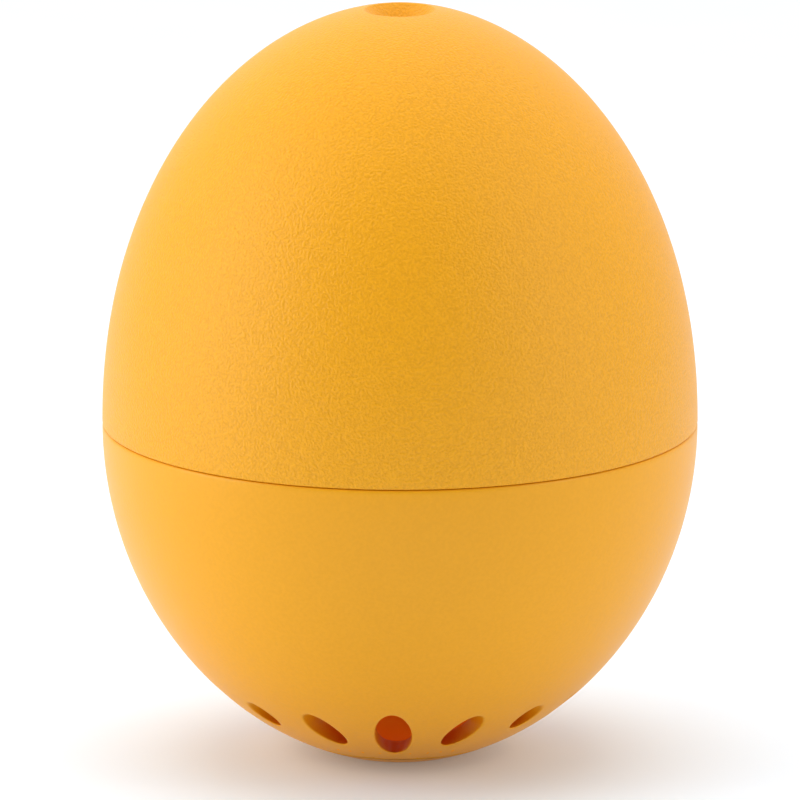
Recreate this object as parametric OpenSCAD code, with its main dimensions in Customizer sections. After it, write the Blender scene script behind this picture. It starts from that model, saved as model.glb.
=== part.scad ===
// Egg timer: a two-part shell that fills with water, around a sealed capsule.
// Millimetres, +Z up, origin at the centre of the foot.

/* [Egg] */
// Largest diameter of the shell, at the seam
egg_d = 47; // [46.6:0.2:50]
// Height at which the crown of the outline closes
egg_h = 60; // [59:0.5:64]
// Height of the seam, where the shell is widest
seam_z = 26.7; // [26.5:0.1:27.2]
// Wall of both shells
wall = 1.6; // [1.4:0.1:1.7]

/* [Openings] */
// Groups of five foot holes, a large one between smaller ones
vent_groups = 3; // [2:1:3]
// Width of a large foot hole
vent_w = 2.9; // [2.4:0.1:3]
// Height of a large foot hole
vent_h = 4.5; // [4.2:0.1:4.6]
// Height of a large foot hole's centre
vent_z = 4.4; // [4.4:0.05:4.8]
// Diameter of the crown opening's countersunk mouth
crown_mouth_d = 5.6; // [4:0.2:7]
// Diameter of the crown opening's bore
crown_bore_d = 3.2; // [2:0.2:3.6]

/* [Capsule] */
// Outer radius of the capsule
capsule_r = 16; // [15.8:0.1:16.2]
// Wall of the capsule
capsule_wall = 1.4; // [1.3:0.1:1.4]
// Height of the capsule's underside
capsule_z = 9; // [8.8:0.1:9.2]
// Height of the top of the capsule's lid
lid_top_z = 44; // [43:0.5:46]

/* [Electronics] */
// Diameter of the coin cell
cell_d = 20; // [18:0.5:20]
// Thickness of the coin cell
cell_h = 3.2; // [2.5:0.1:3.2]
// Diameter of the sounder's brass plate
sounder_d = 20; // [17:1:20]
// Diameter of the sounder's ceramic disc
ceramic_d = 14; // [12:0.5:14]

/* [Hidden] */
$fn = 96;

shell_yellow = [0.95, 0.66, 0.11];
capsule_orange = [0.90, 0.50, 0.07];
seal_red = [0.62, 0.16, 0.10];
steel = [0.72, 0.73, 0.74];
tin = [0.80, 0.79, 0.76];
brass = [0.83, 0.68, 0.34];
copper = [0.72, 0.40, 0.20];
board_green = [0.07, 0.33, 0.18];
black = [0.07, 0.07, 0.08];
tantalum_yellow = [0.78, 0.58, 0.18];
ceramic_tan = [0.72, 0.60, 0.42];
epoxy_cream = [0.86, 0.86, 0.82];
lead_red = [0.70, 0.08, 0.06];

// Shell outline: (r / egg_r)^n + (z / height)^m = 1, above and below the seam.
egg_r = egg_d / 2;
upper_m = 2.09;
upper_n = 1.935;
lower_m = 2;
lower_n = 1.908;
// The lower curve would close this far below the table, so the foot is flat.
foot_cut = 0.7;
arc_steps = 28;
floor_t = 2;

// Foot holes by steps from a large one: shares of its width and height, lean away from it, rise.
vent_kinds = [
    [1, 1, 0, 0],
    [0.76, 0.78, 33, 0.15],
    [0.7, 0.53, 55, 0.6]
];

// The lower shell's lip stands in a rebate of the upper shell.
lip_h = 2.6;
lip_t = 0.85;
lip_gap = 0.05;
lip_end_gap = 0.15;
lip_chamfer = 0.25;

// Both shells have ribs that hold the capsule by its flange.
rib_count = 3;
rib_t = 1.6;
rib_gap = 0.9;
lower_rib_h = 14;
upper_rib_h = 11;
flange_gap = 0.05;

split_z = 28.4;
flange_r = 20.6;
cup_flange_t = 2.4;
lid_flange_t = 2;
capsule_in_r = capsule_r - capsule_wall;
capsule_floor_z = capsule_z + capsule_wall;
cup_corner_r = 5;

// Three self-tapping screws close the capsule.
screw_ring_r = 18.3;
screw_r = 0.95;
screw_hole_r = 1;
screw_clear_r = 1.2;
screw_head_r = 1.8;
screw_head_h = 1.3;
screw_len = 7.6;
boss_r = 2.1;
boss_h = 7;

seal_ring_r = 15.8;
seal_d = 1.2;
groove_w = 1.4;
groove_play = 0.02;

// The temperature sensor sits in a thin metal sleeve that hangs under the cup.
sleeve_r = 2.4;
sleeve_bore_r = 2;
sleeve_tip_z = 4.6;
sleeve_tip_t = 0.5;
sleeve_flange_r = 3.4;
sleeve_flange_t = 0.6;
sleeve_fit = 0.01;
sleeve_floor_z = sleeve_tip_z + sleeve_tip_t;
bead_r = 1.1;
bead_z = sleeve_floor_z + bead_r + 0.25;
sensor_wire_r = 0.22;
sensor_pitch = 1.2;
potting_h = 3.8;

ballast_r = 9.6;
ballast_in_r = 3.8;
ballast_h = 3.8;

board_r = 14.4;
board_z = 21;
board_t = 1;
board_top_z = board_z + board_t;
board_post_ring_r = 12.9;
board_post_r = 1.9;
board_pilot_r = 0.75;
board_pilot_h = 7;
board_screw_r = 0.7;
board_screw_head_r = 1.35;
board_screw_head_h = 0.9;
board_screw_len = 5;
lead_hole_r = 0.6;

boost_place = [5.5, 6.5];
boost_r = 2.6;
boost_h = 2.6;
boost_waist_r = 1.3;
boost_cheek = 0.5;

tray_r = 11.6;
tray_base_t = 0.9;
tray_wall_h = 3.2;
tray_hole_r = 3.2;
cell_r = cell_d / 2;
cell_gap = 0.15;
cell_z = board_top_z + tray_base_t + 0.35;
can_skin = 0.3;
can_curl = 1.3;
can_curl_t = 0.34;
gasket_t = 0.44;
contact_w = 3.4;
contact_t = 0.25;
contact_foot = 1.2;
contact_gap = 0.02;

lid_foot_r = 16.4;
lid_crown_r = 11.4;
lid_in_foot_r = 14.6;
lid_in_crown_r = 10.8;
membrane_t = 0.9;
plate_t = 0.2;
glue_t = 0.15;
glue_w = 1.8;
ceramic_t = 0.22;
membrane_z = lid_top_z - membrane_t;
plate_z = membrane_z - glue_t - plate_t;
ceramic_z = plate_z - ceramic_t;

// Leads rise along the capsule's wall, then turn in under the sounder.
lead_r = 0.45;
lead_foot_r = 12.7;
lead_end = 0.8;
lead_steps = 36;
lead_sway = 17;
lead_waves = 2.5;
red_pad = [3.6, 128];
black_pad = [8.4, 52];
red_foot_angle = 106;
black_foot_angle = 74;
solder_r = 1;
solder_h = 0.7;

// ---------------------------------------------------------------- outlines

function upper_arc(inset) = [
    for (i = [0 : arc_steps])
        let (t = 90 * i / arc_steps)
        [(egg_r - inset) * pow(cos(t), 2 / upper_n),
         seam_z + (egg_h - seam_z - inset) * pow(sin(t), 2 / upper_m)]
];

// The lower curve from the seam down to where it is cut off at end_z.
function lower_arc(inset, end_z) =
    let (depth = seam_z + foot_cut - inset,
         end_t = asin(pow((seam_z - end_z) / depth, lower_m / 2)))
    [for (i = [0 : arc_steps])
        let (t = end_t * i / arc_steps)
        [(egg_r - inset) * pow(cos(t), 2 / lower_n),
         seam_z - depth * pow(sin(t), 2 / lower_m)]];

function reversed(points) = [for (i = [len(points) - 1 : -1 : 0]) points[i]];

function polar(r, angle, z) = [r * cos(angle), r * sin(angle), z];

// ---------------------------------------------------------------- helpers

module around(count, first = 0) {
    for (k = [0 : count - 1])
        rotate(first + 360 * k / count)
            children();
}

module post(r, z, h) {
    translate([0, 0, z])
        cylinder(r = r, h = h);
}

module ring(r_out, r_in, z, h) {
    translate([0, 0, z])
        rotate_extrude()
            translate([r_in, 0])
                square([r_out - r_in, h]);
}

// A block centred on x and y that hangs under the circuit board.
module under_board(x, y, w, d, h) {
    translate([x - w / 2, y - d / 2, board_z - h])
        cube([w, d, h]);
}

module screw(r, length, head_r, head_h, seat_z) {
    slot_w = head_r * 0.26;
    slot_l = head_r * 1.2;
    difference() {
        union() {
            post(r, seat_z - length, length + head_h / 2);
            post(head_r, seat_z, head_h);
        }
        for (turn = [0, 90])
            rotate(turn)
                translate([-slot_l / 2, -slot_w / 2, seat_z + head_h * 0.45])
                    cube([slot_l, slot_w, head_h]);
    }
}

// A round wire along a list of points, with flat ends.
module wire_along(points, r, sides = 8) {
    count = len(points);
    function heading(i) =
        let (step = points[min(i + 1, count - 1)] - points[max(i - 1, 0)])
        step / norm(step);
    function across(i) =
        let (c = cross(heading(i), [0.95, 0.3, 0.1]))
        c / norm(c);
    skin = [
        for (i = [0 : count - 1])
            let (u = across(i), v = cross(heading(i), u))
            for (k = [0 : sides - 1])
                let (turn = 360 * k / sides)
                points[i] + r * (cos(turn) * u + sin(turn) * v)
    ];
    walls = [
        for (i = [0 : count - 2])
            for (k = [0 : sides - 1])
                let (a = i * sides + k, b = i * sides + (k + 1) % sides)
                [b, a, a + sides, b + sides]
    ];
    start_cap = [for (k = [0 : sides - 1]) k];
    end_cap = [for (k = [sides - 1 : -1 : 0]) (count - 1) * sides + k];
    polyhedron(points = skin, faces = concat([start_cap, end_cap], walls), convexity = 6);
}

// ---------------------------------------------------------------- shells

// The crown opening: a straight bore under a countersunk mouth.
module crown_opening() {
    mouth_r = crown_mouth_d / 2;
    bore_r = crown_bore_d / 2;
    throat_z = egg_h - wall + 0.2;
    mouth_z = seam_z + (egg_h - seam_z) * pow(1 - pow(mouth_r / egg_r, upper_n), 1 / upper_m);
    rotate_extrude()
        polygon([
            [0, egg_h - 6], [bore_r, egg_h - 6], [bore_r, throat_z],
            [mouth_r, mouth_z], [mouth_r, egg_h + 2], [0, egg_h + 2]
        ]);
}

// Ribs that hold the capsule's flange down.
module upper_ribs() {
    intersection() {
        rotate_extrude()
            polygon(concat([[0, seam_z]], upper_arc(wall / 2)));
        around(rib_count)
            translate([capsule_r + rib_gap + 0.6, -rib_t / 2,
                       split_z + lid_flange_t + flange_gap])
                cube([egg_r, rib_t, upper_rib_h]);
    }
}

module upper_shell() {
    color(shell_yellow)
        difference() {
            union() {
                rotate_extrude()
                    polygon(concat(upper_arc(0), reversed(upper_arc(wall))));
                upper_ribs();
            }
            crown_opening();
            ring(egg_r - wall + lip_t + lip_gap, egg_r - wall - 1,
                 seam_z - 1, lip_h + lip_end_gap + 1);
        }
}

// One foot hole: a radial passage with round ends, some steps from a large one.
module vent_hole(steps) {
    kind = vent_kinds[abs(steps)];
    w = vent_w * kind[0];
    straight = vent_h * kind[1] - w;
    reach = 16;
    translate([5, 0, vent_z + kind[3]])
        rotate([-sign(steps) * kind[2], 0, 0])
            rotate([0, 90, 0])
                union() {
                    for (side = [-1, 1])
                        translate([side * straight / 2, 0, 0])
                            cylinder(d = w, h = reach);
                    translate([-straight / 2, -w / 2, 0])
                        cube([straight, w, reach]);
                }
}

// The ring of foot holes, a large one facing -Y.
module vent_ring() {
    count = 5 * vent_groups;
    for (k = [0 : count - 1])
        rotate(-90 + 360 * k / count)
            vent_hole((k + 2) % 5 - 2);
}

module lower_outline() {
    in_r = egg_r - wall;
    polygon(concat(
        [[0, 0]],
        reversed(lower_arc(0, 0)),
        [[in_r + lip_t, seam_z],
         [in_r + lip_t, seam_z + lip_h - lip_chamfer],
         [in_r + lip_t - lip_chamfer, seam_z + lip_h],
         [in_r, seam_z + lip_h]],
        lower_arc(wall, floor_t),
        [[0, floor_t]]
    ));
}

// Ribs that carry the capsule's flange.
module lower_ribs() {
    top_z = split_z - cup_flange_t - flange_gap;
    intersection() {
        rotate_extrude()
            polygon(concat([[0, seam_z]], lower_arc(wall / 2, floor_t), [[0, floor_t]]));
        around(rib_count)
            translate([capsule_r + rib_gap, -rib_t / 2, top_z - lower_rib_h])
                cube([egg_r, rib_t, lower_rib_h]);
    }
}

module lower_shell() {
    color(shell_yellow)
        difference() {
            union() {
                rotate_extrude()
                    lower_outline();
                lower_ribs();
            }
            vent_ring();
        }
}

// ---------------------------------------------------------------- capsule

module cup_outline(r, bottom_z, corner_r) {
    polygon(concat(
        [[0, bottom_z]],
        [for (t = [0 : 10 : 90])
            [r - corner_r + corner_r * sin(t), bottom_z + corner_r - corner_r * cos(t)]],
        [[r, split_z], [0, split_z]]
    ));
}

module cup_body() {
    rotate_extrude()
        cup_outline(capsule_r, capsule_z, cup_corner_r);
    ring(flange_r, capsule_in_r, split_z - cup_flange_t, cup_flange_t);
    around(rib_count, 60)
        translate([screw_ring_r, 0, 0])
            post(boss_r, split_z - cup_flange_t - boss_h, boss_h + 1);
}

// The space inside the cup, less the board's posts.
module cup_hollow() {
    difference() {
        rotate_extrude()
            cup_outline(capsule_in_r, capsule_floor_z, cup_corner_r - capsule_wall);
        around(rib_count)
            translate([board_post_ring_r, 0, 0])
                post(board_post_r, capsule_z, board_z - capsule_z);
    }
}

module capsule_cup() {
    color(capsule_orange)
        difference() {
            cup_body();
            cup_hollow();
            post(sleeve_r + sleeve_fit, capsule_z - 1, capsule_wall + 2);
            around(rib_count, 60)
                translate([screw_ring_r, 0, 0])
                    post(screw_hole_r, split_z - cup_flange_t - boss_h + 1, split_z);
            around(rib_count)
                translate([board_post_ring_r, 0, 0])
                    post(board_pilot_r, board_z - board_pilot_h, split_z);
            ring(seal_ring_r + groove_w / 2, seal_ring_r - groove_w / 2,
                 split_z - seal_d - groove_play, seal_d + 1);
        }
}

module lid_outline(foot_r, crown_r, bottom_z, top_z) {
    shoulder_z = split_z + lid_flange_t;
    polygon(concat(
        [[0, bottom_z], [foot_r, bottom_z]],
        [for (t = [0 : 9 : 90])
            [crown_r + (foot_r - crown_r) * cos(t),
             shoulder_z + (top_z - shoulder_z) * sin(t)]],
        [[0, top_z]]
    ));
}

module capsule_lid() {
    color(capsule_orange)
        difference() {
            union() {
                rotate_extrude()
                    lid_outline(lid_foot_r, lid_crown_r, split_z, lid_top_z);
                ring(flange_r, lid_in_foot_r, split_z, lid_flange_t);
            }
            rotate_extrude()
                lid_outline(lid_in_foot_r, lid_in_crown_r, split_z - 1, membrane_z);
            around(rib_count, 60)
                translate([screw_ring_r, 0, 0])
                    post(screw_clear_r, split_z - 1, lid_flange_t + 2);
        }
}

module capsule_seal() {
    color(seal_red)
        translate([0, 0, split_z - (seal_d + groove_play) / 2])
            rotate_extrude()
                translate([seal_ring_r, 0])
                    circle(d = seal_d, $fn = 32);
}

module capsule_screws() {
    color(steel)
        around(rib_count, 60)
            translate([screw_ring_r, 0, 0])
                screw(screw_r, screw_len, screw_head_r, screw_head_h,
                      split_z + lid_flange_t);
}

module ballast_ring() {
    color(steel)
        ring(ballast_r, ballast_in_r, capsule_floor_z, ballast_h);
}

// ---------------------------------------------------------------- electronics

module circuit_board() {
    color(board_green)
        difference() {
            post(board_r, board_z, board_t);
            around(rib_count)
                translate([board_post_ring_r, 0, 0])
                    post(board_screw_r + 0.15, board_z - 1, board_t + 2);
            for (y = [-sensor_pitch / 2, sensor_pitch / 2])
                translate([0, y, 0])
                    post(sensor_wire_r + 0.03, board_z - 1, board_t + 2);
        }
}

module board_screws() {
    color(steel)
        around(rib_count)
            translate([board_post_ring_r, 0, 0])
                screw(board_screw_r, board_screw_len, board_screw_head_r,
                      board_screw_head_h, board_top_z);
}

// The controller under its domed blob of epoxy.
module controller_chip() {
    color(black)
        translate([-7, 0, board_z])
            rotate_extrude()
                polygon(concat(
                    [[0, 0]],
                    [for (t = [0 : 15 : 90]) [3.4 * cos(t), -1.4 * sin(t)]]
                ));
}

module clock_crystal() {
    can_r = 1;
    can_len = 6;
    wire = 0.16;
    bend = 2;
    color(tin)
        translate([-4.2, 8, board_z - can_r - 0.05])
            rotate(20) {
                rotate([0, 90, 0])
                    cylinder(r = can_r, h = can_len);
                for (side = [-0.35, 0.35])
                    translate([0, side, 0]) {
                        rotate([0, -90, 0])
                            cylinder(r = wire, h = bend);
                        translate([-bend, 0, -wire])
                            cylinder(r = wire, h = can_r + 0.05 + wire);
                    }
            }
}

// A dumb-bell core, wound round its waist.
module boost_core() {
    color(black)
        translate([boost_place[0], boost_place[1], 0]) {
            post(boost_r, board_z - boost_h, boost_cheek);
            post(boost_waist_r, board_z - boost_h, boost_h);
            post(boost_r, board_z - boost_cheek, boost_cheek);
        }
}

module boost_winding() {
    color(copper)
        translate([boost_place[0], boost_place[1], 0])
            ring(boost_r - 0.25, boost_waist_r + 0.02, board_z - boost_h + boost_cheek + 0.02,
                 boost_h - 2 * boost_cheek - 0.04);
}

module driver_transistor() {
    color(black)
        union() {
            translate([0, 0, -0.1])
                under_board(6.5, -3.6, 2.9, 1.5, 1.1);
            for (leg = [[5.55, -4.5], [7.45, -4.5], [6.5, -2.7]])
                under_board(leg[0], leg[1], 0.4, 0.9, 0.2);
        }
}

module storage_capacitor() {
    color(tantalum_yellow)
        under_board(-2.8, -8.4, 3.5, 2.8, 1.9);
}

module chip_resistors() {
    color(black)
        for (place = [[2.6, -7.4], [4.8, -8.8], [2.6, -9.6], [9.4, -1.2], [-9.8, -4.6]])
            under_board(place[0], place[1], 1.6, 0.8, 0.5);
}

module chip_capacitors() {
    color(ceramic_tan)
        for (place = [[8.9, 1.6], [8.9, 3.2], [-0.6, 11.4], [-9.4, 5.2]])
            under_board(place[0], place[1], 1.6, 0.8, 0.8);
}

module cell_tray() {
    finger_w = 8;
    window_w = contact_w + 0.4;
    wall_z = board_top_z + tray_base_t;
    color(black)
        difference() {
            post(tray_r, board_top_z, tray_base_t + tray_wall_h);
            post(cell_r + cell_gap, wall_z, tray_wall_h + 1);
            post(tray_hole_r, board_top_z - 1, tray_base_t + 2);
            // Gap for a finger, opposite the contact's window.
            translate([-2 * tray_r, -finger_w / 2, wall_z])
                cube([2 * tray_r - 6, finger_w, tray_wall_h + 1]);
            translate([6, -window_w / 2, wall_z])
                cube([tray_r, window_w, tray_wall_h + 1]);
            around(rib_count)
                translate([board_post_ring_r, 0, 0])
                    post(board_screw_head_r + 0.25, board_top_z - 1, tray_wall_h + 3);
        }
}

// Strip that bears on the side of the cell.
module cell_contact_plus() {
    color(tin)
        translate([cell_r + contact_gap, -contact_w / 2, board_top_z + tray_base_t]) {
            cube([contact_t, contact_w, tray_wall_h]);
            cube([contact_foot, contact_w, contact_t]);
        }
}

// Dished ring that bears on the underside of the cell.
module cell_contact_minus() {
    top_z = cell_z - contact_gap;
    color(tin)
        rotate_extrude()
            polygon([
                [1.2, top_z - contact_t], [1.2, top_z], [2.2, top_z],
                [3, board_top_z + contact_t], [3, board_top_z], [2.6, board_top_z]
            ]);
}

module cell_can() {
    color(tin)
        difference() {
            post(cell_r, cell_z, cell_h);
            post(cell_r - can_curl, cell_z - 1, 2);
            post(cell_r - can_skin, cell_z + can_curl_t, cell_h - can_skin - can_curl_t);
        }
}

module cell_gasket() {
    inner_r = cell_r - can_curl - gasket_t;
    color(black) {
        ring(cell_r - can_curl - 0.01, inner_r, cell_z + 0.02, can_curl_t);
        ring(cell_r - can_skin - 0.01, inner_r, cell_z + can_curl_t + 0.01, gasket_t);
    }
}

// The negative cap, drawn solid with what the cell holds.
module cell_cap() {
    shoulder_z = cell_z + can_curl_t + gasket_t + 0.02;
    color(steel) {
        post(cell_r - can_curl - gasket_t - 0.02, cell_z, 1);
        post(cell_r - can_skin - 0.03, shoulder_z, cell_z + cell_h - can_skin - 0.02 - shoulder_z);
    }
}

module sensor_wires(from_z, to_z, r) {
    for (y = [-sensor_pitch / 2, sensor_pitch / 2])
        translate([0, y, 0])
            post(r, from_z, to_z - from_z);
}

// A drawn metal thimble, flanged where it bears on the capsule's floor.
module sensor_sleeve() {
    color(steel)
        difference() {
            union() {
                post(sleeve_r, sleeve_tip_z, capsule_floor_z + sleeve_flange_t - sleeve_tip_z);
                post(sleeve_flange_r, capsule_floor_z, sleeve_flange_t);
            }
            post(sleeve_bore_r, sleeve_floor_z, capsule_floor_z);
        }
}

module thermistor_bead() {
    color(black)
        translate([0, 0, bead_z])
            sphere(r = bead_r);
}

module thermistor_leads() {
    color(tin)
        difference() {
            sensor_wires(bead_z, board_z + board_t / 2, sensor_wire_r);
            thermistor_bead();
        }
}

module sensor_potting() {
    color(epoxy_cream)
        difference() {
            post(sleeve_bore_r - 0.01, sleeve_floor_z, potting_h);
            thermistor_bead();
            sensor_wires(bead_z, sleeve_floor_z + potting_h + 1, sensor_wire_r);
        }
}

// ---------------------------------------------------------------- sounder

module sounder_glue_ring() {
    color(epoxy_cream)
        ring(sounder_d / 2 - 0.2, sounder_d / 2 - 0.2 - glue_w, plate_z + plate_t, glue_t);
}

module sounder_plate() {
    color(brass)
        post(sounder_d / 2, plate_z, plate_t);
}

module sounder_ceramic() {
    color(ceramic_tan)
        post(ceramic_d / 2, ceramic_z, ceramic_t);
}

// A blob of solder under a pad, with a hole where its lead ends.
module solder_blob(pad, pad_z) {
    translate(polar(pad[0], pad[1], pad_z))
        rotate_extrude()
            polygon(concat(
                [[lead_r + 0.02, 0]],
                [for (t = [0 : 15 : 90])
                    [lead_r + 0.02 + (solder_r - lead_r) * cos(t), -solder_h * sin(t)]]
            ));
}

module sounder_solder() {
    color(tin) {
        solder_blob(red_pad, ceramic_z);
        solder_blob(black_pad, plate_z);
    }
}

// A lead's course: off the board, up the wall with a loose sway, in and up to its pad.
function lead_course(foot_angle, pad, pad_z) =
    let (low_z = board_top_z + lead_end, high_z = pad_z - 2 * lead_end)
    concat(
        [polar(lead_foot_r, foot_angle, board_top_z)],
        [for (i = [0 : lead_steps])
            let (s = i / lead_steps,
                 late = max(0, (s - 0.55) / 0.45),
                 turn_in = late * late * (3 - 2 * late),
                 sway = lead_sway * sin(360 * lead_waves * s) * sin(180 * s))
            polar(lead_foot_r + (pad[0] - lead_foot_r) * turn_in,
                  foot_angle + (pad[1] - foot_angle) * turn_in + sway,
                  low_z + (high_z - low_z) * s)],
        [polar(pad[0], pad[1], pad_z - lead_end), polar(pad[0], pad[1], pad_z)]
    );

module sounder_lead_red() {
    color(lead_red)
        wire_along(lead_course(red_foot_angle, red_pad, ceramic_z), lead_r);
}

module sounder_lead_black() {
    color(black)
        wire_along(lead_course(black_foot_angle, black_pad, plate_z), lead_r);
}

upper_shell();
lower_shell();
capsule_cup();
capsule_lid();
capsule_seal();
capsule_screws();
ballast_ring();
circuit_board();
board_screws();
controller_chip();
clock_crystal();
boost_core();
boost_winding();
driver_transistor();
storage_capacitor();
chip_resistors();
chip_capacitors();
cell_tray();
cell_contact_plus();
cell_contact_minus();
cell_can();
cell_gasket();
cell_cap();
sensor_sleeve();
thermistor_bead();
thermistor_leads();
sensor_potting();
sounder_plate();
sounder_ceramic();
sounder_glue_ring();
sounder_solder();
sounder_lead_red();
sounder_lead_black();
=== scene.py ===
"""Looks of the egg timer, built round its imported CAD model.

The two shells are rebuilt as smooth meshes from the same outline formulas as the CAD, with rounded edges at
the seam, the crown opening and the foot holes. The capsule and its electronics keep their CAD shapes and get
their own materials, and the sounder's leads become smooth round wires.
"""

import math

import bpy
import numpy as np
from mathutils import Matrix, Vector


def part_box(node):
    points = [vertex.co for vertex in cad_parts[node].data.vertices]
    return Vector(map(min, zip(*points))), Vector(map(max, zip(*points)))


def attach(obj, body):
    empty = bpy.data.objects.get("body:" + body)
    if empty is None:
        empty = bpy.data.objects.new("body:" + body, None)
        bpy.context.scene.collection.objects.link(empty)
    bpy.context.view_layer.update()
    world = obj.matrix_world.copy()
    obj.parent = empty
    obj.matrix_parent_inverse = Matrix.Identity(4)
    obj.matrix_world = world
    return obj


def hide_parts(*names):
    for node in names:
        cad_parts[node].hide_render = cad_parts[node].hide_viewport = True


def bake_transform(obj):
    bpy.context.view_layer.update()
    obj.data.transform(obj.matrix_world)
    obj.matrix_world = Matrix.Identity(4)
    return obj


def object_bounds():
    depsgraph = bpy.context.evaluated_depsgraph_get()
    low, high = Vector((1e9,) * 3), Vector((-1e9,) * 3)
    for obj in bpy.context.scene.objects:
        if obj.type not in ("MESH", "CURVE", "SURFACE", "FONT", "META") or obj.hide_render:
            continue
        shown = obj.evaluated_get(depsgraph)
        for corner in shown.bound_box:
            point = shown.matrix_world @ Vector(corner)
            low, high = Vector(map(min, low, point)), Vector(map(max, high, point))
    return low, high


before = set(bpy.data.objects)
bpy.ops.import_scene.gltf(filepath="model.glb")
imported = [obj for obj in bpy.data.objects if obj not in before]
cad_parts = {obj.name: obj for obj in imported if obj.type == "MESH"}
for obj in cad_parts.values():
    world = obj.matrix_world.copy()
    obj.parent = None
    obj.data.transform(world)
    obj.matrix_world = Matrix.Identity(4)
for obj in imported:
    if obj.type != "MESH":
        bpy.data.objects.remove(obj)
cad_low, cad_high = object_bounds()

MM = 0.001

# ------------------------------------------------------------------ sizes, in millimetres, as in the CAD

# Outlines: (r / EGG_R)^n + (z / height)^m = 1, above and below the seam.
shell_low, shell_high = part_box("upper_shell")
EGG_R = shell_high.x / MM
SEAM_Z = shell_low.z / MM
EGG_H = 60
UPPER_M, UPPER_N = 2.09, 1.935
LOWER_M, LOWER_N = 2.0, 1.908
# The lower curve would close this far below the table, so the foot is flat.
FOOT_CUT = 0.7
FLOOR_T = 2
WALL = 1.6

# The lower shell's lip stands in a rebate of the upper shell.
LIP_H, LIP_T = 2.6, 0.85
LIP_GAP, LIP_END_GAP = 0.05, 0.15

# Foot holes in groups of five. By steps from the large one: width, height, lean away from it, and the
# height of the middle.
VENT_GROUP, VENT_GROUPS = 5, 3
VENT_KINDS = (
    (2.9, 4.5, 0, 4.4),
    (2.2, 3.5, math.radians(33), 4.55),
    (2.03, 2.38, math.radians(55), 5.0),
)

CROWN_MOUTH_R, CROWN_BORE_R = 2.8, 1.6
CROWN_THROAT_RISE = 0.2

# Both shells have ribs that hold the capsule by its flange.
CAPSULE_R = 16
SPLIT_Z = 28.4
CUP_FLANGE_T, LID_FLANGE_T = 2.4, 2
RIB_COUNT, RIB_T = 3, 1.6
RIB_GAP, FLANGE_GAP = 0.9, 0.05
LOWER_RIB_H, UPPER_RIB_H = 14, 11
UPPER_RIB_INSET = 0.6

# The sounder's leads: the angle of the foot on the board, and the radius, angle and height of the pad.
LEAD_R, LEAD_FOOT_R = 0.45, 12.7
LEAD_END, LEAD_STEPS = 0.8, 36
LEAD_SWAY, LEAD_WAVES = 17, 2.5
LEAD_TURN_START = 0.55
BOARD_TOP_Z = 22
RED_LEAD = {"foot_angle": 106, "pad": (3.6, 128), "pad_z": 42.53}
BLACK_LEAD = {"foot_angle": 74, "pad": (8.4, 52), "pad_z": 42.75}

# ------------------------------------------------------------------ eased edges, in millimetres

LOWER_RIM_EDGE, UPPER_RIM_EDGE = 0.24, 0.14
LIP_OUTER_EDGE, LIP_INNER_EDGE = 0.25, 0.2
FOOT_EDGE = 0.5
MOUTH_EDGE, THROAT_EDGE = 0.1, 0.12
VENT_EDGE_OUT, VENT_EDGE_IN = 0.2, 0.04
# How far short of the crown's rounded mouth, and of the lower rim's rounding, the plain skin stops.
MOUTH_MARGIN, RIM_MARGIN = 0.02, 0.05
# The two shells meet in a fine open line: how far each is held back from the seam.
LOWER_RIM_INSET, LOWER_RIM_DROP = 0.01, 0.04
UPPER_RIM_LIFT = 0.005


# ------------------------------------------------------------------ mesh helpers


def new_object(name, vertices, faces, smooth=True):
    """A mesh object from points in millimetres."""
    mesh = bpy.data.meshes.new(name)
    mesh.from_pydata([tuple(v) for v in np.asarray(vertices) * MM], [], [tuple(f) for f in faces])
    mesh.validate()
    if smooth:
        mesh.shade_smooth()
    obj = bpy.data.objects.new(name, mesh)
    bpy.context.scene.collection.objects.link(obj)
    return obj


def join_parts(parts):
    """One list of vertices and one of faces from several (vertices, faces) pairs."""
    vertices, faces, start = [], [], 0
    for part_vertices, part_faces in parts:
        vertices.append(np.asarray(part_vertices, float))
        faces += [tuple(i + start for i in face) for face in part_faces]
        start += len(part_vertices)
    return np.concatenate(vertices), faces


def weld(vertices, faces, tolerance=1e-4):
    """Merges points that coincide and drops faces that collapse."""
    keys = np.round(np.asarray(vertices) / tolerance).astype(np.int64)
    _, first, inverse = np.unique(keys, axis=0, return_index=True, return_inverse=True)
    inverse = inverse.reshape(-1)
    merged = np.asarray(vertices)[first]
    kept = []
    for face in faces:
        ring = [inverse[i] for i in face]
        ring = [v for k, v in enumerate(ring) if v != ring[k - 1]]
        if len(set(ring)) >= 3:
            kept.append(tuple(int(v) for v in ring))
    return merged, kept


def inside_cad_box(vertices):
    """Points held inside the CAD's box, whose facets fall a few microns short of a true circle."""
    return np.clip(vertices, np.array(cad_low) / MM, np.array(cad_high) / MM)


def band_faces(rings, sides):
    """Four-sided faces between closed rings of points, each ring joined to the next."""
    faces = []
    for i in range(rings - 1):
        for j in range(sides):
            k = (j + 1) % sides
            faces.append((i * sides + j, i * sides + k, (i + 1) * sides + k, (i + 1) * sides + j))
    return faces


def revolve(profile, angles):
    """Turns (r, z) points about Z. The angles, in radians, close on themselves."""
    r, z = np.array(profile, float).T
    vertices = np.empty((len(profile), len(angles), 3))
    vertices[:, :, 0] = r[:, None] * np.cos(angles)[None, :]
    vertices[:, :, 1] = r[:, None] * np.sin(angles)[None, :]
    vertices[:, :, 2] = z[:, None]
    return vertices.reshape(-1, 3), band_faces(len(profile), len(angles))


def bend(start, corner, end, s):
    """A point of the curve that leaves start and reaches end as if by way of corner."""
    return (1 - s) ** 2 * start + 2 * s * (1 - s) * corner + s**2 * end


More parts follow.
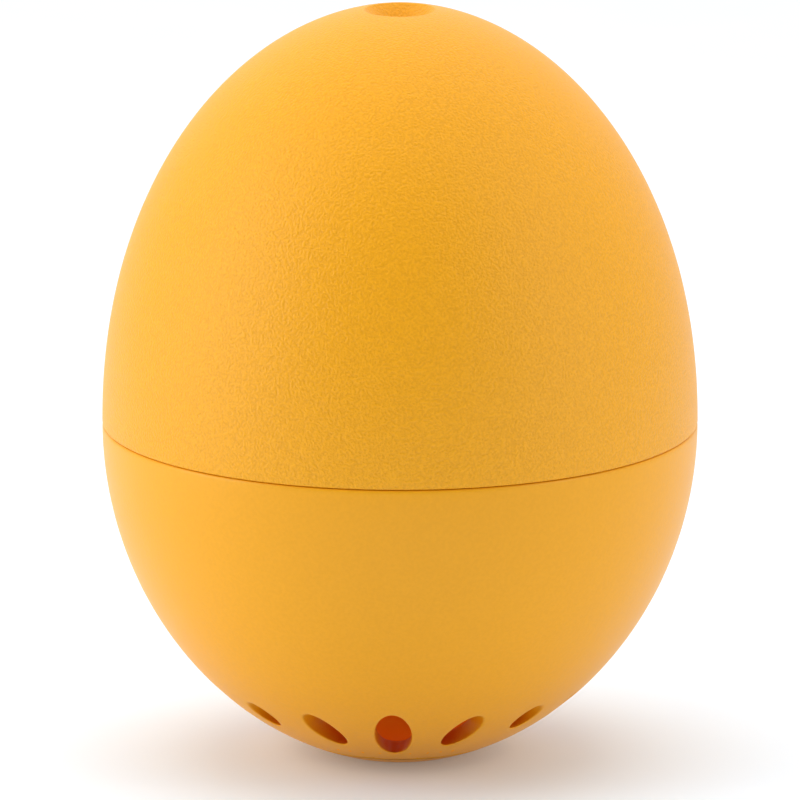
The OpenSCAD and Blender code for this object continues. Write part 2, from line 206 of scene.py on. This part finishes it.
def rounded(corner, before, after, radius, steps=4):
    """Points of a smooth turn at corner, on the way from before to after."""
    corner, before, after = (np.array(p, float) for p in (corner, before, after))
    start = corner + radius * (before - corner) / np.linalg.norm(before - corner)
    end = corner + radius * (after - corner) / np.linalg.norm(after - corner)
    return [tuple(bend(start, corner, end, s)) for s in np.linspace(0, 1, steps + 1)]


def turned(vertices, angle):
    """Points turned about Z by an angle in radians."""
    c, s = math.cos(angle), math.sin(angle)
    x, y, z = np.asarray(vertices).T
    return np.stack([c * x - s * y, s * x + c * y, z], axis=1)


# ------------------------------------------------------------------ outlines, at an inset from the outer skin


def upper_point(turn, inset):
    """A point of the upper outline, turn going from 0 at the seam to a quarter turn at the crown."""
    return (
        (EGG_R - inset) * math.cos(turn) ** (2 / UPPER_N),
        SEAM_Z + (EGG_H - SEAM_Z - inset) * math.sin(turn) ** (2 / UPPER_M),
    )


def upper_turn(z, inset):
    """The turn at which the upper outline reaches a height."""
    return math.asin(((z - SEAM_Z) / (EGG_H - SEAM_Z - inset)) ** (UPPER_M / 2))


def upper_height(r, inset):
    share = (r / (EGG_R - inset)) ** UPPER_N
    return SEAM_Z + (EGG_H - SEAM_Z - inset) * (1 - share) ** (1 / UPPER_M)


def upper_radius(z, inset):
    share = ((z - SEAM_Z) / (EGG_H - SEAM_Z - inset)) ** UPPER_M
    return (EGG_R - inset) * (1 - share) ** (1 / UPPER_N)


def lower_radius(z, inset):
    share = ((SEAM_Z - np.asarray(z, float)) / (SEAM_Z + FOOT_CUT - inset)) ** LOWER_M
    return (EGG_R - inset) * (1 - share) ** (1 / LOWER_N)


def lower_points(heights, inset):
    return [(float(lower_radius(z, inset)), z) for z in heights]


# ------------------------------------------------------------------ ribs


def plate(outline, thickness, angle):
    """An upright plate: an (r, z) outline made a given thickness, in the radial plane at angle."""
    half = thickness / 2
    count = len(outline)
    vertices = [(r, side * half, z) for side in (-1, 1) for r, z in outline]
    faces = [tuple(range(count)), tuple(range(2 * count - 1, count - 1, -1))]
    for j in range(count):
        k = (j + 1) % count
        faces.append((j, k, count + k, count + j))
    return turned(vertices, angle), faces


def ribs(inner_r, low_z, high_z, skin_radius, steps=12):
    """The ribs of one shell, their outer side sunk half-way into its wall."""
    outer = [(float(skin_radius(z, WALL / 2)), z) for z in np.linspace(low_z, high_z, steps)]
    outline = [(inner_r, low_z)] + outer + [(inner_r, high_z)]
    return [plate(outline, RIB_T, 2 * math.pi * k / RIB_COUNT) for k in range(RIB_COUNT)]


# ------------------------------------------------------------------ lower shell

# The foot holes lie in a belt of equal patches, one round each hole, between these heights.
VENT_COUNT = VENT_GROUP * VENT_GROUPS
SECTOR = math.radians(360 / VENT_COUNT)
PATCH_TOP = 8.4
PATCH_LOW_OUT, PATCH_LOW_IN = 1.0, 2.06
SECTOR_STEPS, SIDE_STEPS = 16, 26
PATCH_RINGS, PATCH_EASE = 12, 1.4
VENT_EDGE_STEPS, VENT_BORE_STEPS = 5, 4


def patch_border(low_z, middle_z):
    """The rim of one hole's patch as angles and heights, and the direction of each from the hole's middle."""
    half = SECTOR / 2
    across = np.linspace(-half, half, SECTOR_STEPS + 1)
    up = np.linspace(0, 1, SIDE_STEPS + 1)
    z_up = low_z + (PATCH_TOP - low_z) * up
    rim = [(a, low_z) for a in across[:-1]]
    rim += [(half, z) for z in z_up[:-1]]
    rim += [(a, PATCH_TOP) for a in across[:0:-1]]
    rim += [(-half, z) for z in z_up[:0:-1]]
    angle, z = np.array(rim).T
    reach = np.where(z > middle_z, PATCH_TOP - middle_z, middle_z - low_z)
    return angle, z, np.arctan2((z - middle_z) / reach, angle / half)


def vent_outline(steps, direction, grow, inset):
    """Where an oval hole, grown by a margin, meets the shell's surface, in each direction from its middle."""
    width, height, lean, middle_z = VENT_KINDS[abs(steps)]
    lean *= np.sign(steps)
    along = (width / 2 + grow) * np.cos(direction + lean)
    up = (height / 2 + grow) * np.sin(direction + lean)
    side = along * math.cos(lean) + up * math.sin(lean)
    z = middle_z + up * math.cos(lean) - along * math.sin(lean)
    return np.arcsin(side / lower_radius(z, inset)), z


def on_surface(angle, z, inset):
    r = lower_radius(z, inset)
    return np.stack([r * np.cos(angle), r * np.sin(angle), z], axis=1)


def half_patch(steps, low_z, inset, edge):
    """Rings of points from a patch's rim to its hole, and on round the hole's edge to the bore."""
    middle_z = VENT_KINDS[abs(steps)][-1]
    rim_angle, rim_z, direction = patch_border(low_z, middle_z)
    lip_angle, lip_z = vent_outline(steps, direction, edge, inset)
    rings = []
    for s in np.linspace(0, 1, PATCH_RINGS + 1):
        eased = 1 - (1 - s) ** PATCH_EASE
        rings.append(on_surface(
            rim_angle + (lip_angle - rim_angle) * eased,
            rim_z + (lip_z - rim_z) * eased,
            inset,
        ))
    start = rings[-1]
    corner = on_surface(*vent_outline(steps, direction, 0, inset), inset)
    into_bore = -edge if inset == 0 else edge
    end = corner + np.array([into_bore, 0, 0])
    edge_shares = np.linspace(0, 1, VENT_EDGE_STEPS + 1)[1:]
    return rings + [bend(start, corner, end, s) for s in edge_shares]


def vent_patch(steps):
    """One sector of the shell round its hole: outer skin, bore and inner skin."""
    outer = half_patch(steps, PATCH_LOW_OUT, 0, VENT_EDGE_OUT)
    inner = half_patch(steps, PATCH_LOW_IN, WALL, VENT_EDGE_IN)[::-1]
    bore_shares = np.linspace(0, 1, VENT_BORE_STEPS + 1)[1:-1]
    bore = [outer[-1] + (inner[0] - outer[-1]) * s for s in bore_shares]
    rings = outer + bore + inner
    return np.concatenate(rings), band_faces(len(rings), len(rings[0]))


def vent_belt(starts):
    """The patches round the foot, at the given angles. The first hole, and every fifth one on, is large."""
    reach = VENT_GROUP // 2
    patches = {steps: vent_patch(steps) for steps in range(-reach, reach + 1)}
    belt = []
    for k, start in enumerate(starts):
        vertices, faces = patches[(k + reach) % VENT_GROUP - reach]
        belt.append((turned(vertices, start), faces))
    return belt


def lower_wall_profile(steps=40):
    """From the patches' top edge up the outside, over the lip, and down the inside."""
    heights = np.linspace(PATCH_TOP, SEAM_Z, steps)
    rim_r, shelf_z = EGG_R - LOWER_RIM_INSET, SEAM_Z - LOWER_RIM_DROP
    in_r = EGG_R - WALL
    lip_r, top_z = in_r + LIP_T, SEAM_Z + LIP_H
    outside = lower_points([z for z in heights if z < SEAM_Z - LOWER_RIM_EDGE - RIM_MARGIN], 0)
    rim = rounded((rim_r, shelf_z), (rim_r, 0), (0, shelf_z), LOWER_RIM_EDGE)
    lip = [(lip_r, shelf_z)]
    lip += rounded((lip_r, top_z), (lip_r, 0), (0, top_z), LIP_OUTER_EDGE)
    lip += rounded((in_r, top_z), (EGG_R, top_z), (in_r, 0), LIP_INNER_EDGE)
    inside = lower_points(heights[-2::-1], WALL)
    return outside + rim + lip + [(in_r, SEAM_Z)] + inside


def lower_foot_profile(skin_end_z=0.22, flat_r=2.5, steps=6):
    """From the patches' low edge down the outside and in under the flat foot."""
    skin = lower_points(np.linspace(PATCH_LOW_OUT, skin_end_z, steps), 0)
    foot_r = float(lower_radius(0, 0))
    return skin + rounded((foot_r, 0), skin[-1], (0, 0), FOOT_EDGE, steps) + [(flat_r, 0), (0, 0)]


def lower_floor_profile(corner=0.1, flat_r=3):
    """From the patches' low edge inside to the middle of the shell's floor."""
    floor_r = float(lower_radius(FLOOR_T, WALL)) - corner
    return lower_points([PATCH_LOW_IN], WALL) + [(floor_r, FLOOR_T), (flat_r, FLOOR_T), (0, FLOOR_T)]


def make_lower_shell():
    """The lower shell, its first large foot hole at the front."""
    sector_angles = np.linspace(-SECTOR / 2, SECTOR / 2, SECTOR_STEPS + 1)[:-1]
    starts = -math.pi / 2 + SECTOR * np.arange(VENT_COUNT)
    angles = np.concatenate([start + sector_angles for start in starts])
    profiles = (lower_wall_profile(), lower_foot_profile(), lower_floor_profile())
    shell = weld(*join_parts(vent_belt(starts) + [revolve(profile, angles) for profile in profiles]))
    high_z = SPLIT_Z - CUP_FLANGE_T - FLANGE_GAP
    lower_ribs = ribs(CAPSULE_R + RIB_GAP, high_z - LOWER_RIB_H, high_z, lower_radius)
    vertices, faces = join_parts([shell] + lower_ribs)
    return new_object("lower_shell_skin", inside_cad_box(vertices), faces)


# ------------------------------------------------------------------ upper shell

UPPER_SIDES = 240


def crown_profile():
    """The countersunk mouth of the crown opening, from the outer skin down to the bore, its edges eased."""
    mouth = (CROWN_MOUTH_R, upper_height(CROWN_MOUTH_R, 0))
    throat = (CROWN_BORE_R, EGG_H - WALL + CROWN_THROAT_RISE)
    skin = (CROWN_MOUTH_R + 1, upper_height(CROWN_MOUTH_R + 1, 0))
    below = (CROWN_BORE_R, upper_height(CROWN_BORE_R, WALL))
    return rounded(mouth, skin, throat, MOUTH_EDGE) + rounded(throat, mouth, below, THROAT_EDGE)


def upper_profile(out_start=0.02, out_steps=90, in_end=0.09, in_steps=60):
    """The closed section, from the seam up the outside and down the inside. Its start and end are turns."""
    low_z = SEAM_Z + UPPER_RIM_LIFT
    rebate_r = EGG_R - WALL + LIP_T + LIP_GAP
    rebate_z = SEAM_Z + LIP_H + LIP_END_GAP
    bottom = rounded((EGG_R, low_z), (0, low_z), (EGG_R, EGG_H), UPPER_RIM_EDGE)
    out_end = upper_turn(upper_height(CROWN_MOUTH_R + MOUTH_EDGE + MOUTH_MARGIN, 0), 0)
    outside = [upper_point(turn, 0) for turn in np.linspace(out_start, out_end, out_steps)]
    in_start = upper_turn(upper_height(CROWN_BORE_R, WALL), WALL)
    inside = [upper_point(turn, WALL) for turn in np.linspace(in_start, in_end, in_steps)]
    inside = [(r, z) for r, z in inside if z > rebate_z]
    rebate = [(upper_radius(rebate_z, WALL), rebate_z), (rebate_r, rebate_z), (rebate_r, low_z)]
    return bottom + outside + crown_profile() + inside + rebate + bottom[:1]


def make_upper_shell():
    angles = np.linspace(0, 2 * math.pi, UPPER_SIDES + 1)[:-1]
    shell = weld(*revolve(upper_profile(), angles))
    low_z = SPLIT_Z + LID_FLANGE_T + FLANGE_GAP
    upper_ribs = ribs(CAPSULE_R + RIB_GAP + UPPER_RIB_INSET, low_z, low_z + UPPER_RIB_H, upper_radius)
    vertices, faces = join_parts([shell] + upper_ribs)
    return new_object("upper_shell_skin", inside_cad_box(vertices), faces)


# ------------------------------------------------------------------ sounder leads


def polar(r, angle, z):
    """A point at a radius, an angle in degrees and a height."""
    turn = math.radians(angle)
    return np.array([r * math.cos(turn), r * math.sin(turn), z])


def lead_course(foot_angle, pad, pad_z):
    """The CAD's course of a lead: off the board, up the wall with a loose sway, in and up to its pad."""
    low_z = BOARD_TOP_Z + LEAD_END
    high_z = pad_z - 2 * LEAD_END
    points = [polar(LEAD_FOOT_R, foot_angle, BOARD_TOP_Z)]
    for s in np.linspace(0, 1, LEAD_STEPS + 1):
        late = max(0, (s - LEAD_TURN_START) / (1 - LEAD_TURN_START))
        turn_in = late * late * (3 - 2 * late)
        sway = LEAD_SWAY * math.sin(2 * math.pi * LEAD_WAVES * s) * math.sin(math.pi * s)
        points.append(polar(
            LEAD_FOOT_R + (pad[0] - LEAD_FOOT_R) * turn_in,
            foot_angle + (pad[1] - foot_angle) * turn_in + sway,
            low_z + (high_z - low_z) * s,
        ))
    return points + [polar(*pad, pad_z - LEAD_END), polar(*pad, pad_z)]


def smooth_course(points, steps=4):
    """Points of a Catmull-Rom curve through the given ones."""
    ends = [2 * points[0] - points[1]] + list(points) + [2 * points[-1] - points[-2]]
    course = []
    for a, b, c, d in zip(ends, ends[1:], ends[2:], ends[3:]):
        for s in np.linspace(0, 1, steps, endpoint=False):
            course.append(0.5 * (2 * b + (c - a) * s + (2 * a - 5 * b + 4 * c - d) * s**2
                                 + (3 * b - a - 3 * c + d) * s**3))
    return course + [points[-1]]


def tube(course, radius, aside=(0.95, 0.3, 0.1), sides=16):
    """A closed round tube along a course, without twisting.

    Aside is any direction other than the one in which the course sets off.
    """
    headings = np.gradient(np.array(course), axis=0)
    headings /= np.linalg.norm(headings, axis=1)[:, None]
    across = np.cross(headings[0], aside)
    vertices = []
    for point, heading in zip(course, headings):
        across = across - heading * (across @ heading)
        across /= np.linalg.norm(across)
        other = np.cross(heading, across)
        for k in range(sides):
            turn = 2 * math.pi * k / sides
            vertices.append(point + radius * (math.cos(turn) * across + math.sin(turn) * other))
    start_cap = tuple(range(sides - 1, -1, -1))
    end_cap = tuple(range(len(vertices) - sides, len(vertices)))
    return vertices, band_faces(len(course), sides) + [start_cap, end_cap]


def make_lead(name, lead):
    return new_object(name, *tube(smooth_course(lead_course(**lead)), LEAD_R))


# ------------------------------------------------------------------ kinds of material

# Painted light: the colour of the glow that stands in for light bounced about inside the hollow shell.
PAINTED_BOUNCE_GLOW_COLOUR = (1, 0.16, 0.002, 1)
# The middle of a noise's range, over which a colour turns from dark to light.
TINT_SPAN = (0.35, 0.65)


def material(name):
    """A node material: itself, its nodes, its links, its shader, and the point on the piece as a socket."""
    mat = bpy.data.materials.new(name)
    mat.use_nodes = True
    nodes, links = mat.node_tree.nodes, mat.node_tree.links
    place = nodes.new("ShaderNodeTexCoord").outputs["Object"]
    return mat, nodes, links, nodes["Principled BSDF"], place


def noise(nodes, links, vector, scale, detail=2, stretch=(1, 1, 1)):
    """A noise texture's value, its scale multiplied along X, Y and Z by the stretch."""
    mapping = nodes.new("ShaderNodeMapping")
    mapping.inputs["Scale"].default_value = stretch
    texture = nodes.new("ShaderNodeTexNoise")
    texture.inputs["Scale"].default_value = scale
    texture.inputs["Detail"].default_value = detail
    links.new(vector, mapping.inputs["Vector"])
    links.new(mapping.outputs["Vector"], texture.inputs["Vector"])
    return texture.outputs["Fac"]


def product(nodes, links, values):
    """Two values multiplied together."""
    multiply = nodes.new("ShaderNodeMath")
    multiply.operation = "MULTIPLY"
    for value, socket in zip(values, multiply.inputs):
        links.new(value, socket)
    return multiply.outputs["Value"]


def tint(nodes, links, value, shader, dark, light):
    """The shader's colour, running from dark to light over the middle of a value's range."""
    ramp = nodes.new("ShaderNodeValToRGB")
    for element, position, colour in zip(ramp.color_ramp.elements, TINT_SPAN, (dark, light)):
        element.position = position
        element.color = (*colour, 1)
    links.new(value, ramp.inputs["Fac"])
    links.new(ramp.outputs["Color"], shader.inputs["Base Color"])


def vary_gloss(nodes, links, value, shader, roughness, spread):
    """The shader's roughness, changing with a value by a spread to either side."""
    span = nodes.new("ShaderNodeMapRange")
    span.inputs["To Min"].default_value = roughness - spread
    span.inputs["To Max"].default_value = roughness + spread
    links.new(value, span.inputs["Value"])
    links.new(span.outputs["Result"], shader.inputs["Roughness"])


def bump(nodes, links, value, shader, strength, depth):
    """Relief from a value, its full depth in millimetres."""
    relief = nodes.new("ShaderNodeBump")
    relief.inputs["Strength"].default_value = strength
    relief.inputs["Distance"].default_value = depth * MM
    links.new(value, relief.inputs["Height"])
    links.new(relief.outputs["Normal"], shader.inputs["Normal"])


def plastic(name, dark, light, roughness, grain, strength, shine=0.5, painted_glow=0):
    """Moulded plastic: a fine grain in its colour, gloss and relief. The glow is painted light: emission that
    stands in for light bounced about inside the hollow shell.
    """
    mat, nodes, links, shader, place = material(name)
    fine = noise(nodes, links, place, grain)
    tint(nodes, links, fine, shader, dark, light)
    vary_gloss(nodes, links, fine, shader, roughness, spread=0.06)
    bump(nodes, links, fine, shader, strength, depth=0.12)
    shader.inputs["Specular IOR Level"].default_value = shine
    shader.inputs["Emission Color"].default_value = PAINTED_BOUNCE_GLOW_COLOUR
    shader.inputs["Emission Strength"].default_value = painted_glow
    return mat


def metal(name, dark, light, roughness, stretch):
    """Rolled or drawn metal: fine lines across the axis of the greatest stretch, and clouds in its colour."""
    mat, nodes, links, shader, place = material(name)
    shader.inputs["Metallic"].default_value = 1
    lines = noise(nodes, links, place, scale=1500, detail=3, stretch=stretch)
    clouds = noise(nodes, links, place, scale=300, detail=4)
    tint(nodes, links, clouds, shader, dark, light)
    vary_gloss(nodes, links, lines, shader, roughness, spread=0.08)
    bump(nodes, links, lines, shader, strength=0.25, depth=0.01)
    return mat


def threads(nodes, links, place, direction):
    """The threads of a cloth, one beside the other along a direction."""
    wave = nodes.new("ShaderNodeTexWave")
    wave.bands_direction = direction
    wave.inputs["Scale"].default_value = 800
    wave.inputs["Distortion"].default_value = 0.6
    links.new(place, wave.inputs["Vector"])
    return wave.outputs["Fac"]


def laminate(name, dark, light):
    """Printed board: a woven cloth under a tinted lacquer."""
    mat, nodes, links, shader, place = material(name)
    cloth = product(nodes, links, [threads(nodes, links, place, direction) for direction in "XY"])
    tint(nodes, links, cloth, shader, dark, light)
    vary_gloss(nodes, links, noise(nodes, links, place, scale=700), shader, roughness=0.3, spread=0.06)
    bump(nodes, links, cloth, shader, strength=0.3, depth=0.02)
    return mat


def dress(obj, *mats):
    """Gives a piece its materials. All its faces take the first."""
    obj.data.materials.clear()
    for mat in mats:
        obj.data.materials.append(mat)


def mark_inside(skin, skin_radius, floor_play=0.02, wall_play=0.08):
    """Gives the faces of a shell's inner skin and floor its second material, the plastic with a painted glow
    of bounced light.
    """
    for face in skin.data.polygons:
        x, y, z = face.center / MM
        on_floor = abs(z - FLOOR_T) < floor_play
        on_wall = z > FLOOR_T and abs(math.hypot(x, y) - skin_radius(z)) < wall_play
        if on_floor or on_wall:
            face.material_index = 1


# ------------------------------------------------------------------ finishes

# Plastics and the like: dark and light colour, roughness, the grain's scale and strength, shine and glow, the
# glow being painted light that stands in for light bounced inside the shell.
PLASTICS = {
    "upper_plastic": ((0.80, 0.34, 0.002), (0.90, 0.39, 0.003), 0.42, 5000, 0.8, 0.33),
    "lower_plastic": ((0.835, 0.358, 0.002), (0.865, 0.372, 0.003), 0.40, 3600, 0.12, 0.33),
    # The shells' inner skin: the same plastic, less shiny, with a painted glow that stands in for the light
    # bounced about inside the hollow.
    "inner_plastic_painted_glow": ((0.835, 0.358, 0.002), (0.865, 0.372, 0.003), 0.6, 3000, 0.2, 0.05, 0.16),
    "capsule_plastic": ((0.80, 0.24, 0.004), (0.84, 0.26, 0.006), 0.36, 2600, 0.2),
    "seal_rubber": ((0.30, 0.02, 0.01), (0.36, 0.03, 0.015), 0.55, 4000, 0.3),
    "black_plastic": ((0.006, 0.006, 0.007), (0.014, 0.014, 0.016), 0.45, 3500, 0.4),
    "black_epoxy": ((0.004, 0.004, 0.004), (0.010, 0.010, 0.011), 0.22, 900, 0.15),
    "cream_epoxy": ((0.58, 0.55, 0.44), (0.72, 0.70, 0.60), 0.25, 1100, 0.15),
    "ceramic": ((0.42, 0.32, 0.18), (0.56, 0.46, 0.28), 0.50, 6000, 0.5),
    "tantalum_yellow": ((0.52, 0.30, 0.04), (0.62, 0.38, 0.06), 0.42, 3600, 0.3),
    "red_insulation": ((0.40, 0.008, 0.006), (0.50, 0.014, 0.010), 0.32, 2600, 0.15),
    "black_insulation": ((0.006, 0.006, 0.008), (0.014, 0.014, 0.017), 0.32, 2600, 0.15),
}

# Metals: dark and light colour, roughness, and the stretch of the lines.
METALS = {
    "steel": ((0.42, 0.43, 0.45), (0.60, 0.61, 0.63), 0.28, (1, 1, 12)),
    "tinned_metal": ((0.50, 0.49, 0.46), (0.68, 0.67, 0.63), 0.30, (12, 1, 1)),
    "brass": ((0.56, 0.38, 0.12), (0.72, 0.50, 0.17), 0.26, (1, 14, 1)),
    "copper_wire": ((0.42, 0.13, 0.04), (0.60, 0.21, 0.07), 0.22, (1, 1, 40)),
}

NODE_FINISHES = {
    "capsule_plastic": ("capsule_cup", "capsule_lid"),
    "seal_rubber": ("capsule_seal",),
    "steel": ("capsule_screws", "ballast_ring", "board_screws", "cell_cap", "sensor_sleeve"),
    "tinned_metal": ("clock_crystal", "cell_contact_plus", "cell_contact_minus", "cell_can",
                     "thermistor_leads", "sounder_solder"),
    "brass": ("sounder_plate",),
    "copper_wire": ("boost_winding",),
    "board_laminate": ("circuit_board",),
    "black_plastic": ("boost_core", "driver_transistor", "chip_resistors", "cell_tray", "cell_gasket"),
    "black_epoxy": ("controller_chip", "thermistor_bead"),
    "cream_epoxy": ("sensor_potting", "sounder_glue_ring"),
    "ceramic": ("chip_capacitors", "sounder_ceramic"),
    "tantalum_yellow": ("storage_capacitor",),
}


def make_finishes():
    """Every finish of the object, by name."""
    made = {name: plastic(name, *look) for name, look in PLASTICS.items()}
    made.update({name: metal(name, *look) for name, look in METALS.items()})
    made["board_laminate"] = laminate("board_laminate", (0.004, 0.060, 0.022), (0.010, 0.105, 0.040))
    return made


# ------------------------------------------------------------------ the object

finishes = make_finishes()

for finish, names in NODE_FINISHES.items():
    for name in names:
        dress(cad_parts[name], finishes[finish])

upper_skin = make_upper_shell()
lower_skin = make_lower_shell()
for skin, node, finish in (
    (upper_skin, "upper_shell", "upper_plastic"),
    (lower_skin, "lower_shell", "lower_plastic"),
):
    dress(skin, finishes[finish], finishes["inner_plastic_painted_glow"])
    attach(skin, node)
    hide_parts(node)

# The inner faces take the plastic whose glow paints in the light bounced about inside the shell.
mark_inside(upper_skin, lambda z: upper_radius(np.clip(z, SEAM_Z, EGG_H - WALL), WALL))
mark_inside(lower_skin, lambda z: lower_radius(np.clip(z, FLOOR_T, SEAM_Z), WALL))

for name, lead, finish in (
    ("sounder_lead_red", RED_LEAD, "red_insulation"),
    ("sounder_lead_black", BLACK_LEAD, "black_insulation"),
):
    wire = make_lead(name + "_wire", lead)
    dress(wire, finishes[finish])
    dress(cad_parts[name], finishes[finish])
    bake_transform(wire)
    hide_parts(name)

# ------------------------------------------------------------------ stage, lights and camera, in metres

scene = bpy.context.scene
scene.view_settings.view_transform = "Standard"

EGG_MIDDLE = (0, 0, EGG_H * MM / 2)

# The camera stands this far off and this high, a little to the right, and looks at a point on the egg's axis.
CAMERA_D, CAMERA_H = 0.972, 0.2593
CAMERA_TURN = math.radians(2.3)
LENS = 569.7
AIM_Z = 0.028281

# The room's light: from the horizon to overhead, and from behind the camera to behind the egg.
SKY_RISE = (0.45, 1.0)
SKY_DEPTH = (0.1, 1.9)

FLOOR_HALF = 3
FLOOR_DARK, FLOOR_LIGHT = (0.73, 0.80, 0.87), (0.74, 0.81, 0.88)
FLOOR_GLOW = 0.12


def make_floor():
    """A pale floor, wide enough to fill the camera's view."""
    half = FLOOR_HALF / MM
    corners = [(-half, -half, 0), (half, -half, 0), (half, half, 0), (-half, half, 0)]
    floor = new_object("floor", corners, [(0, 1, 2, 3)], smooth=False)
    mat, nodes, links, shader, place = material("floor_paper")
    tint(nodes, links, noise(nodes, links, place, scale=60, detail=4), shader, FLOOR_DARK, FLOOR_LIGHT)
    shader.inputs["Roughness"].default_value = 0.9
    shader.inputs["Specular IOR Level"].default_value = 0.1
    shader.inputs["Emission Color"].default_value = (1, 1, 1, 1)
    shader.inputs["Emission Strength"].default_value = FLOOR_GLOW
    dress(floor, mat)


def stand(name, data, place, aim):
    """A light or camera at a place, turned to a point."""
    obj = bpy.data.objects.new(name, data)
    scene.collection.objects.link(obj)
    obj.location = place
    obj.rotation_mode = "QUATERNION"
    obj.rotation_quaternion = (Vector(aim) - Vector(place)).to_track_quat("-Z", "Y")
    return obj


def softbox(name, place, aim, size, power):
    data = bpy.data.lights.new(name, "AREA")
    data.shape = "RECTANGLE"
    data.size, data.size_y = size
    data.energy = power
    light = stand(name, data, place, aim)
    light.visible_camera = False
    return light


def make_world():
    """White surroundings, brighter overhead and behind the egg."""
    world = bpy.data.worlds.new("studio")
    scene.world = world
    world.use_nodes = True
    nodes, links = world.node_tree.nodes, world.node_tree.links
    background = nodes["Background"]
    background.inputs["Color"].default_value = (1, 1, 1, 1)
    place = nodes.new("ShaderNodeTexCoord")
    axes = nodes.new("ShaderNodeSeparateXYZ")
    links.new(place.outputs["Generated"], axes.inputs["Vector"])
    spans = []
    for axis, start, (low, high) in (("Z", 0, SKY_RISE), ("Y", -1, SKY_DEPTH)):
        span = nodes.new("ShaderNodeMapRange")
        span.inputs["From Min"].default_value = start
        span.inputs["To Min"].default_value = low
        span.inputs["To Max"].default_value = high
        links.new(axes.outputs[axis], span.inputs["Value"])
        spans.append(span.outputs["Result"])
    links.new(product(nodes, links, spans), background.inputs["Strength"])


def make_lights():
    """A strong softbox at the left, a weaker one at the right, and one overhead that leaves no highlight."""
    softbox("left_box", place=(-0.34, -0.10, 0.16), aim=EGG_MIDDLE, size=(0.25, 0.35), power=0.85)
    softbox("right_box", place=(0.34, -0.14, 0.18), aim=EGG_MIDDLE, size=(0.18, 0.30), power=0.42)
    overhead = softbox("top_box", place=(0, 0.05, 0.65), aim=(0, 0, 0), size=(0.6, 0.6), power=1.7)
    overhead.visible_glossy = False


def make_camera():
    data = bpy.data.cameras.new("camera")
    data.lens = LENS
    data.clip_start, data.clip_end = 0.05, 20
    place = (CAMERA_D * math.sin(CAMERA_TURN), -CAMERA_D * math.cos(CAMERA_TURN), CAMERA_H)
    scene.camera = stand("camera", data, place, (0, 0, AIM_Z))


make_floor()
make_world()
make_lights()
make_camera()
